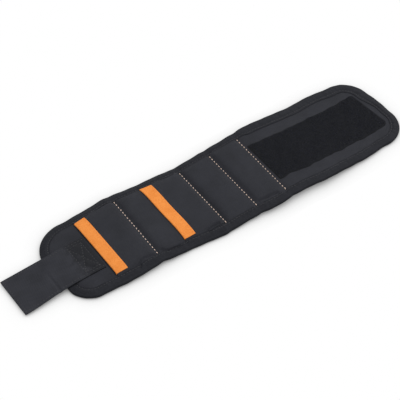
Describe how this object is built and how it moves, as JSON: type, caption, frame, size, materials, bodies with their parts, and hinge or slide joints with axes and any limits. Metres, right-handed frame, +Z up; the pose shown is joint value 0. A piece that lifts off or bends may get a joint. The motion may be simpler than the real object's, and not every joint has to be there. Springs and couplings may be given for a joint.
{
  "type": "magnetic wristband",
  "caption": "Quilted black fabric wristband with magnets under its cover, orange-edged pockets, bound edges and a hook strap that closes on a loop patch.",
  "frame": {"origin": "middle of the footprint on the surface that the band lies on", "axes": "+X along the band from the strap tip to the loop end, +Y across it to the far edge, +Z up out of the cover"},
  "size_m": [0.3996, 0.0926, 0.0102],
  "materials": {
    "cover": "black ballistic nylon weave",
    "binding": "black grosgrain binding tape",
    "lining": "black air mesh on foam",
    "tape": "orange woven tape",
    "strap": "black woven webbing",
    "loop": "black napped loop pile",
    "hook": "black moulded hooks",
    "magnet": "nickel plated disc"
  },
  "bodies": {
    "section_1": {"backing_1": "lining", "cover_1": "cover", "binding_strap_end": "binding", "strap_root": "strap"},
    "section_2": {"backing_2": "lining", "cover_2": "cover", "binding_near_2": "binding", "binding_far_2": "binding", "pocket_panel_1": "cover", "pocket_tape_1": "tape", "magnet_1": "magnet", "magnet_2": "magnet"},
    "section_3": {"backing_3": "lining", "cover_3": "cover", "binding_near_3": "binding", "binding_far_3": "binding", "magnet_3": "magnet", "magnet_4": "magnet"},
    "section_4": {"backing_4": "lining", "cover_4": "cover", "binding_near_4": "binding", "binding_far_4": "binding", "pocket_panel_2": "cover", "pocket_tape_2": "tape", "magnet_5": "magnet", "magnet_6": "magnet"},
    "section_5": {"backing_5": "lining", "cover_5": "cover", "binding_near_5": "binding", "binding_far_5": "binding", "magnet_7": "magnet", "magnet_8": "magnet"},
    "section_6": {"backing_6": "lining", "cover_6": "cover", "binding_near_6": "binding", "binding_far_6": "binding", "magnet_9": "magnet", "magnet_10": "magnet"},
    "section_7": {"backing_7": "lining", "cover_7": "cover", "binding_near_7": "binding", "binding_far_7": "binding", "loop_patch_1": "loop"},
    "section_8": {"backing_8": "lining", "cover_8": "cover", "binding_near_8": "binding", "binding_far_8": "binding", "loop_patch_2": "loop"},
    "section_9": {"backing_9": "lining", "cover_9": "cover", "binding_near_9": "binding", "binding_far_9": "binding", "loop_patch_3": "loop"},
    "section_10": {"backing_10": "lining", "cover_10": "cover", "binding_loop_end": "binding", "loop_patch_4": "loop"},
    "strap": {"strap_tail": "strap", "hook_tape": "hook"}
  },
  "joints": [
    {"name": "wrap", "type": "hinge", "parent": "section_4", "child": "section_5", "pos_m": [-0.00809, 0, 0], "axis": [0, 1, 0], "range_deg": [0, 48.9]},
    {"name": "fold_5", "type": "hinge", "parent": "section_5", "child": "section_6", "pos_m": [0.02584, 0, 0.0021], "axis": [0, 1, 0], "range_deg": [0, 42.2]},
    {"name": "fold_6", "type": "hinge", "parent": "section_6", "child": "section_7", "pos_m": [0.05998, 0, 0.0042], "axis": [0, 1, 0], "range_deg": [0, 40.4]},
    {"name": "fold_7", "type": "hinge", "parent": "section_7", "child": "section_8", "pos_m": [0.09498, 0, 0.0042], "axis": [0, 1, 0], "range_deg": [0, 41.1]},
    {"name": "fold_8", "type": "hinge", "parent": "section_8", "child": "section_9", "pos_m": [0.12987, 0, 0.00145], "axis": [0, 1, 0], "range_deg": [0, 49]},
    {"name": "fold_9", "type": "hinge", "parent": "section_9", "child": "section_10", "pos_m": [0.16484, 0, 0], "axis": [0, 1, 0], "range_deg": [0, 50.7]},
    {"name": "fold_3", "type": "hinge", "parent": "section_4", "child": "section_3", "pos_m": [-0.04939, 0, 0], "axis": [0, -1, 0], "range_deg": [0, 45.2]},
    {"name": "fold_2", "type": "hinge", "parent": "section_3", "child": "section_2", "pos_m": [-0.07658, 0, 0.0024], "axis": [0, -1, 0], "range_deg": [0, 33.4]},
    {"name": "fold_1", "type": "hinge", "parent": "section_2", "child": "section_1", "pos_m": [-0.12025, 0, 0.0006], "axis": [0, -1, 0], "range_deg": [0, 47.2]},
    {"name": "strap_fold", "type": "hinge", "parent": "section_1", "child": "strap", "pos_m": [-0.15996, 0, 0.00433], "axis": [0, -1, 0], "range_deg": [-90, 54]}
  ],
  "couplings": [
    {"joint": "fold_1", "follows": "wrap", "ratio": 0.9638},
    {"joint": "fold_2", "follows": "wrap", "ratio": 0.6811},
    {"joint": "fold_3", "follows": "wrap", "ratio": 0.9233},
    {"joint": "fold_5", "follows": "wrap", "ratio": 0.8608},
    {"joint": "fold_6", "follows": "wrap", "ratio": 0.8242},
    {"joint": "fold_7", "follows": "wrap", "ratio": 0.8387},
    {"joint": "fold_8", "follows": "wrap", "ratio": 1.0004},
    {"joint": "fold_9", "follows": "wrap", "ratio": 1.0343}
  ]
}
